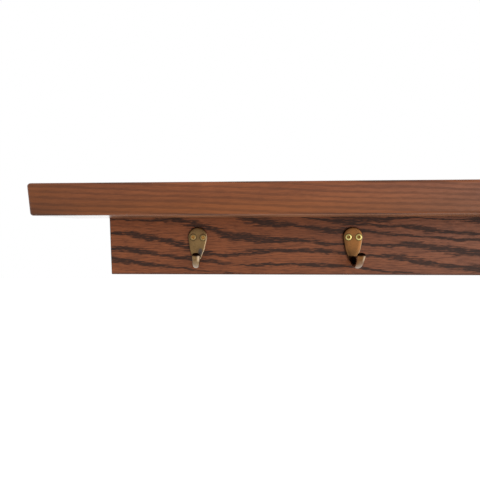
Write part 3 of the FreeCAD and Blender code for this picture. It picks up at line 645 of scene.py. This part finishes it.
# Where a hook's patina and its painted shade, highlight and floor reflection change, from one place to
# another: X runs across from the plate's middle line, Z up from the screws' middles, and Y is the
# rail's front at 0 and less further out
PLATE_Y = (-3.4 * mm, -3.0 * mm)
WOOD_Y = (-1.7 * mm, -0.6 * mm)
LEFT_X = (-9.0 * mm, -4.0 * mm)
TOP_Z = (0.5 * mm, 8 * mm)
FOOT_Z = (-9.0 * mm, -15.5 * mm)
UNDER_Z = (-20 * mm, -24 * mm)
TIP_Y = (-22 * mm, -27 * mm)
TIP_Z = (-24 * mm, -20 * mm)
THROAT_Z = (-13 * mm, -16 * mm)
ROOT_Z = (-17.8 * mm, -19 * mm)
ROOT_Y = (-5.5 * mm, -4 * mm)

# The blotch on the right of the waist: its middle, how much narrower than high it is, and how far
# from its middle it fades. Then how far from a screw's middle the painted shade round it fades.
BLOTCH_X = 3.5 * mm
BLOTCH_Z = -14.4 * mm
BLOTCH_NARROW = 1.6
BLOTCH_FADES = (2.2 * mm, 4.8 * mm)
SCREW_SHADE_FADES = (3.35 * mm, 3.9 * mm)


def patina(name, brown, blotched):
    """Antique brass: brown patina, darker in blots, with painted shade on the plate's left, head and
    foot, a painted highlight along its right-hand edge and on the prong's tip, a painted reflection of
    the floor beneath the prong, and painted shade in the throat, on the prong's end, on the rims turned
    from the light, round the screws and against the wood. Blotched is how strong the grey blotch is."""
    finish, tree, shader, place = new_finish(name)
    parts = add(tree, "ShaderNodeSeparateXYZ", {"Vector": place}).outputs
    normal = add(tree, "ShaderNodeTexCoord").outputs["Normal"]
    facing = add(tree, "ShaderNodeSeparateXYZ", {"Vector": normal}).outputs
    blots = speckle(tree, place, BLOT, BLOT, detail=4.0)
    mottle = speckle(tree, place, MOTTLE, MOTTLE, detail=2.0)
    blots = work_out(tree, "MULTIPLY_ADD", mottle, 0.45, work_out(tree, "MULTIPLY", blots, 0.55))
    colour = blend_colours(tree, ease_between(tree, blots, 0.42, 0.62, 0.0, 0.5), brown, DARK_BRASS)
    beside = work_out(tree, "MULTIPLY_ADD", parts["X"], BLOTCH_NARROW, -BLOTCH_NARROW * BLOTCH_X)
    below = work_out(tree, "SUBTRACT", parts["Z"], BLOTCH_Z)
    blotch = ease_between(tree, distance_from(tree, beside, below), *BLOTCH_FADES, blotched, 0.0)
    colour = blend_colours(tree, blotch, colour, BLOTCH)
    on_plate = ease_between(tree, parts["Y"], *PLATE_Y)
    # Painted shade: the plate is darker on its left, at its head and at its foot, away from the light
    left_side = ease_between(tree, parts["X"], *LEFT_X, 0.5, 0.0)
    top = ease_between(tree, parts["Z"], *TOP_Z, 0.0, 0.15 + 0.4 * blotched)
    bottom = ease_between(tree, parts["Z"], *FOOT_Z, 0.0, 0.5 * (1 - blotched))
    plate_shade = together(tree, strongest(tree, left_side, top, bottom), on_plate)
    colour = blend_colours(tree, plate_shade, colour, DARK_BRASS)

    # Painted reflection of the pale floor on the prong's downward faces
    faces_down = ease_between(tree, facing["Z"], -0.4, -0.9)
    floor_reflection = together(tree, faces_down, ease_between(tree, parts["Z"], *UNDER_Z), 0.6)
    colour = blend_colours(tree, floor_reflection, colour, FLOOR_REFLECTION_BRASS)
    # Sideways is how far a surface faces the light from the lower right. Painted highlight: the plate's
    # right-hand rim and the right side of the prong's tip are made bright.
    sideways = work_out(tree, "MULTIPLY", facing["X"], 0.9)
    sideways = work_out(tree, "MULTIPLY_ADD", facing["Z"], -0.45, sideways)
    rim = together(tree, ease_between(tree, sideways, 0.2, 0.5), on_plate)
    far_out = ease_between(tree, parts["Y"], *TIP_Y)
    near_tip = together(tree, far_out, ease_between(tree, parts["Z"], *TIP_Z))
    cap = together(tree, near_tip, ease_between(tree, facing["Z"], -0.3, 0.1))
    tip = together(tree, near_tip, ease_between(tree, facing["X"], 0.1, 0.55))
    painted_highlight = together(tree, strongest(tree, rim, tip), 0.65)
    colour = blend_colours(tree, painted_highlight, colour, HIGHLIGHT_BRASS)

    # Painted shade and dark reflection: in the throat and beneath the prong's root, on the prong's end, on
    # the plate's rims turned from the light, round the screws and against the wood
    faces_up = ease_between(tree, facing["Z"], 0.08, 0.45)
    throat = together(tree, faces_up, ease_between(tree, parts["Z"], *THROAT_Z))
    beneath = ease_between(tree, parts["Z"], *ROOT_Z)
    close_in = ease_between(tree, parts["Y"], *ROOT_Y)
    root = together(tree, beneath, close_in, ease_between(tree, facing["Z"], -0.35, -0.1))
    turned_left = ease_between(tree, facing["X"], 0.3, 0.7, 1.0, 0.3)
    hidden = together(tree, strongest(tree, throat, root), turned_left)
    shaded = together(tree, ease_between(tree, sideways, -0.15, -0.6), on_plate)
    against_wood = ease_between(tree, parts["Y"], *WOOD_Y)
    aside = work_out(tree, "ABSOLUTE", work_out(tree, "SUBTRACT", parts["X"], SCREW_SIDE))
    along = work_out(tree, "SUBTRACT", aside, SCREW_GAP / 2)
    from_screw = distance_from(tree, along, parts["Z"])
    round_screws = ease_between(tree, from_screw, *SCREW_SHADE_FADES, 0.75, 0.0)
    painted_shadow = strongest(tree, hidden, cap, shaded, round_screws, against_wood)
    painted_shadow = together(tree, painted_shadow, work_out(tree, "MULTIPLY_ADD", rim, -0.8, 1.0))
    colour = blend_colours(tree, painted_shadow, colour, SHADE_DARK)
    tree.links.new(colour, shader.inputs["Base Color"])
    shader.inputs["Metallic"].default_value = 1.0
    rough = work_out(tree, "MULTIPLY_ADD", blots, 0.24, 0.2)
    tree.links.new(rough, shader.inputs["Roughness"])
    emboss(tree, shader, mottle, 0.25, MOTTLE_DEPTH)
    return finish


# Each hook's patina, from the left: the first and the fourth are greener, with a grey blotch
OLIVE_BRASS = (0.215, 0.131, 0.054, 1)
BRONZE_BRASS = (0.190, 0.080, 0.026, 1)
olive = patina("olive_brass", OLIVE_BRASS, 0.8)
bronze = patina("bronze_brass", BRONZE_BRASS, 0.0)
HOOK_PATINAS = {1: olive, 2: bronze, 3: bronze, 4: olive, 5: bronze}

# One casting serves all five hooks. Each hangs between its two screws, turned as they stand.
casting = cast_hook()
screw_middles = {}
for hook, patina_of_hook in HOOK_PATINAS.items():
    places = []
    for side in ("left", "right"):
        low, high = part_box(f"hook_{hook}_screw_{side}")
        places.append((low + high) / 2)
    left, right = places
    turn = math.atan2(left.z - right.z, right.x - left.x)
    middle = (left + right) / 2
    piece = new_piece(f"hook_{hook}_casting", casting)
    hung = Matrix.Translation((middle.x, rail_low.y, middle.z)) @ Matrix.Rotation(turn, 4, "Y")
    piece.matrix_world = hung @ Matrix.Translation((-SCREW_SIDE, 0, 0))
    finish_node(piece, patina_of_hook)
    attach(piece, "root")
    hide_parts(f"hook_{hook}")
    screw_middles[hook] = (left, right)

# The screws. Brass wood screws with domed countersunk heads and a cross recess hold the hooks, and
# plain zinc ones with flat heads hold the keyhole plates. Each is turned from rod, with a rolled
# thread and a point, and was left at whatever angle it drove home.

# The two kinds of screw: the radius of the head and of the shank, the length of the screw and of its
# point, and how high the head's dome is
SCREW_HEAD = 3.15 * mm
SCREW_SHANK = 1.75 * mm
SCREW_LENGTH = 15.9 * mm
SCREW_POINT = 3.5 * mm
SCREW_CROWN = 0.35 * mm
PLATE_SCREW_HEAD = 3.1 * mm
PLATE_SCREW_SHANK = 1.6 * mm
PLATE_SCREW_LENGTH = 12.7 * mm
PLATE_SCREW_POINT = 3.0 * mm
PLATE_SCREW_CROWN = 0.0

# What both kinds have: the head's thin rim, the plain part of the shank, the thread and the cross
HEAD_RIM = 0.12 * mm
PLAIN_SHANK = 1.5 * mm
THREAD_PITCH = 1.4 * mm
THREAD_DEPTH = 0.4 * mm
CROSS_SPAN = 4.0 * mm
CROSS_WIDTH = 1.45 * mm
CROSS_DEPTH = 1.3 * mm
CROSS_ABOVE = 0.4 * mm
CROSS_TURN = math.radians(37)

# The cross at its bottom: its span, and the part of its width that doesn't shrink with the span
CROSS_FOOT = 0.38
CROSS_KEEPS = 0.55

# How finely a screw is drawn: rings over the head's dome and the smallest one's share of the head,
# corners round a ring, steps along each turn of the thread, the radius that the point ends in, the
# smallest radius, and the sharpest turn that is still shaded smooth
HEAD_RINGS = 8
HEAD_SMALLEST = 0.06
SCREW_AROUND = 48
THREAD_STEPS = 8
POINT_END = 0.05 * mm
FINEST = 0.04 * mm
SCREW_SMOOTH_TURN = math.radians(35)

# Each kind of screw metal: the colour of its head, and of the middle of the head and its recess
NEW_BRASS = ((0.48, 0.41, 0.15, 1), (0.34, 0.18, 0.05, 1))
DULL_BRASS = ((0.25, 0.175, 0.075, 1), (0.55, 0.33, 0.105, 1))
BRIGHT_ZINC = ((0.62, 0.62, 0.60, 1), (0.25, 0.24, 0.22, 1))

# The metal's cloudy blots and their depth, over what radii the middle of the head fades out, over
# what depths the recess turns dull, and how far in from the rim the painted shade starts and is full
METAL_BLOT = 1.2 * mm
METAL_DEPTH = 0.05 * mm
HEAD_MIDDLE = (1.4 * mm, 2.1 * mm)
RECESS = (0.05 * mm, 0.25 * mm)
RIM_SHADE = (0.4 * mm, 0.05 * mm)


def turn_screw(name, head, shank, length, point, crown):
    """A screw along +Y, its head's rim at Y 0: domed head, cone, threaded shank and point."""
    shape = bmesh.new()
    rings = []
    for share in np.linspace(HEAD_SMALLEST, 1, HEAD_RINGS):
        rings.append((-crown * (1 - share**2), head * share, 0))
    rings.append((HEAD_RIM, head, 0))
    rings.append((head - shank, shank, 0))
    thread_starts = head - shank + PLAIN_SHANK
    for reach in np.arange(thread_starts, length, THREAD_PITCH / THREAD_STEPS):
        taper = min(1, (length - reach) / point)
        rings.append((reach, shank * taper, THREAD_DEPTH * min(taper * 1.5, 1)))
    rings.append((length, POINT_END, 0))
    loops = []
    for reach, radius, depth in rings:
        ring = []
        for corner in range(SCREW_AROUND):
            angle = 2 * math.pi * corner / SCREW_AROUND
            phase = (reach / THREAD_PITCH - corner / SCREW_AROUND) % 1
            here = max(radius - depth * (1 - abs(2 * phase - 1)) ** 0.5, FINEST)
            ring.append((here * math.cos(angle), reach, here * math.sin(angle)))
        loops.append(add_loop(shape, ring))
    skin(shape, loops)
    piece = new_piece(name, shape_to_mesh(shape, name))
    cut_away(piece, cross_cutter(crown))
    return smooth_mesh(piece, SCREW_SMOOTH_TURN)


def cross_cutter(crown):
    """The driver's cross: four wings that slope in towards a small flat bottom."""
    shape = bmesh.new()
    loops = []
    for out, shrink in ((crown + CROSS_ABOVE, 1.0), (crown - CROSS_DEPTH, CROSS_FOOT)):
        far = CROSS_SPAN / 2 * shrink
        near = CROSS_WIDTH / 2 * (CROSS_KEEPS + (1 - CROSS_KEEPS) * shrink)
        quarter = [(far, -near), (far, near), (near, near)]
        ring = []
        for turn in range(4):
            cos, sin = round(math.cos(turn * math.pi / 2)), round(math.sin(turn * math.pi / 2))
            ring += [(x * cos - z * sin, -out, x * sin + z * cos) for x, z in quarter]
        loops.append(add_loop(shape, ring))
    skin(shape, loops)
    return new_piece("cutter", shape_to_mesh(shape, "cutter"))


def screw_metal(name, colour, tarnish, rough, head, crown):
    """Turned metal: its own colour on the head, tarnish in blots, in the middle of the head and in
    the recess and below, and painted shade along the head's rim."""
    finish, tree, shader, place = new_finish(name)
    parts = add(tree, "ShaderNodeSeparateXYZ", {"Vector": place}).outputs
    radius = distance_from(tree, parts["X"], parts["Z"])
    dome = work_out(tree, "MULTIPLY", radius, radius)
    dome = work_out(tree, "MULTIPLY_ADD", dome, crown / head**2, -crown)
    blots = speckle(tree, place, METAL_BLOT, METAL_BLOT, detail=3.0)
    deep = ease_between(tree, work_out(tree, "SUBTRACT", parts["Y"], dome), *RECESS)
    blotted = ease_between(tree, blots, 0.52, 0.8, 0.0, 0.5)
    dull = strongest(tree, deep, blotted, ease_between(tree, radius, *HEAD_MIDDLE, 0.85, 0.0))
    metal = blend_colours(tree, dull, colour, tarnish)
    # Painted shade: a dark ring round the head's rim, where the countersink would shade it
    rim = ease_between(tree, radius, head - RIM_SHADE[0], head - RIM_SHADE[1], 0.0, 0.8)
    tree.links.new(blend_colours(tree, rim, metal, SHADE_DARK), shader.inputs["Base Color"])
    shader.inputs["Metallic"].default_value = 1.0
    tree.links.new(work_out(tree, "MULTIPLY_ADD", dull, 0.25, rough), shader.inputs["Roughness"])
    emboss(tree, shader, blots, 0.15, METAL_DEPTH)
    return finish


new_brass = screw_metal("new_brass", *NEW_BRASS, 0.40, SCREW_HEAD, SCREW_CROWN)
dull_brass = screw_metal("dull_brass", *DULL_BRASS, 0.45, SCREW_HEAD, SCREW_CROWN)
zinc_bright = screw_metal("zinc_bright", *BRIGHT_ZINC, 0.30, PLATE_SCREW_HEAD, PLATE_SCREW_CROWN)
brass_sizes = (SCREW_HEAD, SCREW_SHANK, SCREW_LENGTH, SCREW_POINT, SCREW_CROWN)
zinc_sizes = (PLATE_SCREW_HEAD, PLATE_SCREW_SHANK, PLATE_SCREW_LENGTH, PLATE_SCREW_POINT, PLATE_SCREW_CROWN)
brass_screw = turn_screw("brass_screw", *brass_sizes)
zinc_screw = turn_screw("zinc_screw", *zinc_sizes)

# The first hook's screws are dull, and rubbed brighter round the cross
for hook, middles in screw_middles.items():
    for count, (side, middle) in enumerate(zip(("left", "right"), middles)):
        piece = new_piece(f"hook_{hook}_brass_screw_{side}", brass_screw)
        spin = Matrix.Rotation(CROSS_TURN * (2 * hook + count), 4, "Y")
        piece.matrix_world = Matrix.Translation((middle.x, rail_low.y - PLATE_THICK, middle.z)) @ spin
        finish_node(piece, dull_brass if hook == 1 else new_brass)
        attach(piece, "root")
        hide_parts(f"hook_{hook}_screw_{side}")

# The keyhole plates. Two stamped steel plates, zinc plated, let in flush with the rail's back and
# screwed there. The wall screws' heads go in at the round entry and the slot drops onto them.
ZINC = (0.52, 0.52, 0.50, 1)
ZINC_DULL = (0.30, 0.30, 0.30, 1)
SPANGLE = (4 * mm, 4 * mm)
SCRATCH = (0.25 * mm, 6 * mm)
SCRATCH_DEPTH = 0.05 * mm

zinc_plate, tree, shader, place = new_finish("zinc_plate")
spangle = speckle(tree, place, *SPANGLE, detail=3.0, distortion=1.0)
scratches = speckle(tree, place, *SCRATCH, detail=2.0)
zinc = blend_colours(tree, ease_between(tree, spangle, 0.35, 0.7), ZINC, ZINC_DULL)
tree.links.new(zinc, shader.inputs["Base Color"])
shader.inputs["Metallic"].default_value = 1.0
tree.links.new(work_out(tree, "MULTIPLY_ADD", scratches, 0.3, 0.25), shader.inputs["Roughness"])
emboss(tree, shader, scratches, 0.1, SCRATCH_DEPTH)

# The rail's back is at Y 0, so the screws stand there, turned round to face the wall
for side in ("left", "right"):
    finish_node(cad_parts[f"hanger_{side}"], zinc_plate)
    for level in ("high", "low"):
        low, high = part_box(f"hanger_{side}_screw_{level}")
        piece = new_piece(f"hanger_{side}_zinc_screw_{level}", zinc_screw)
        at_back = Matrix.Translation(((low.x + high.x) / 2, 0, (low.z + high.z) / 2))
        piece.matrix_world = at_back @ Matrix.Rotation(math.pi, 4, "Z")
        finish_node(piece, zinc_bright)
        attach(piece, "root")
        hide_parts(f"hanger_{side}_screw_{level}")

# The place it is seen in: a wide pale floor well below, a plain white surround, one broad soft
# light at the front right, a little above the shelf, and even light from everywhere else.
FLOOR_REACH = 12
FLOOR_BELOW = 1.3
FLOOR_CLOUD = 0.5
FLOOR_GLOW = 0.4
FLOOR_DARK = (0.93, 0.93, 0.93, 1)
FLOOR_PALE = (0.96, 0.96, 0.96, 1)

shape = bmesh.new()
bmesh.ops.create_grid(shape, x_segments=8, y_segments=8, size=FLOOR_REACH)
floor = new_piece("floor", shape_to_mesh(shape, "floor"))
floor.location.z = rail_low.z - FLOOR_BELOW
pale, tree, shader, place = new_finish("pale_floor")
cloud = speckle(tree, place, FLOOR_CLOUD, FLOOR_CLOUD)
tree.links.new(blend_colours(tree, cloud, FLOOR_DARK, FLOOR_PALE), shader.inputs["Base Color"])
shader.inputs["Roughness"].default_value = 0.9
ray = add(tree, "ShaderNodeLightPath").outputs
looked_at = strongest(tree, ray["Is Camera Ray"], ray["Is Glossy Ray"])
glow = work_out(tree, "MULTIPLY", looked_at, FLOOR_GLOW)
shader.inputs["Emission Color"].default_value = (1, 1, 1, 1)
tree.links.new(glow, shader.inputs["Emission Strength"])
finish_node(floor, pale)

# The surround is white where it is looked at, and lights the piece a little less strongly
AMBIENT = 0.88
world = bpy.data.worlds.new("surround")
bpy.context.scene.world = world
world.use_nodes = True
tree = world.node_tree
tree.nodes.clear()
ray = add(tree, "ShaderNodeLightPath").outputs
seen = strongest(tree, ray["Is Camera Ray"], ray["Is Glossy Ray"], ray["Is Transmission Ray"])
even = add(tree, "ShaderNodeBackground", {"Color": (1, 1, 1, 1), "Strength": AMBIENT})
white = add(tree, "ShaderNodeBackground", {"Color": (1, 1, 1, 1), "Strength": 1.0})
mixed = add(tree, "ShaderNodeMixShader", {0: seen, 1: even.outputs[0], 2: white.outputs[0]})
tree.links.new(mixed.outputs[0], add(tree, "ShaderNodeOutputWorld").inputs["Surface"])

KEY_PLACE = Vector((0.95, -1.7, 0.1))
KEY_AIM = Vector((-0.1, 0, 0))
KEY_WIDTH = 0.9
KEY_HEIGHT = 1.0
KEY_WATTS = 12.0
key = bpy.data.lights.new("key", "AREA")
key.energy = KEY_WATTS
key.shape = "RECTANGLE"
key.size = KEY_WIDTH
key.size_y = KEY_HEIGHT
lamp = new_piece("key", key)
lamp.location = KEY_PLACE
lamp.rotation_euler = (KEY_AIM - KEY_PLACE).to_track_quat("-Z", "Y").to_euler()

# The camera stands half a metre off, between the first two hooks and level with the rail, turned a
# little to the left. Its place is measured along from the rail's left end, out from its front and
# down from its top. Its lens and its shift are in pixels of the photo, on a sensor of so many mm.
CAMERA_ALONG = 134.8 * mm
CAMERA_OUT = 465.2 * mm
CAMERA_DOWN = 12.2 * mm
CAMERA_TURN = (88.734, 0.143, 3.32)
CAMERA_LENS = 467.13
CAMERA_SHIFT = 24
CAMERA_NEAREST = 10 * mm
PHOTO_SIDE = 480
SENSOR = 36
camera = bpy.data.cameras.new("camera")
camera.sensor_width = SENSOR
camera.lens = CAMERA_LENS / PHOTO_SIDE * SENSOR
camera.shift_x = CAMERA_SHIFT / PHOTO_SIDE
camera.clip_start = CAMERA_NEAREST
viewer = new_piece("camera", camera)
viewer.location = (rail_low.x + CAMERA_ALONG, rail_low.y - CAMERA_OUT, rail_high.z - CAMERA_DOWN)
viewer.rotation_euler = [math.radians(angle) for angle in CAMERA_TURN]
bpy.context.scene.camera = viewer
bpy.context.scene.view_settings.view_transform = "Standard"
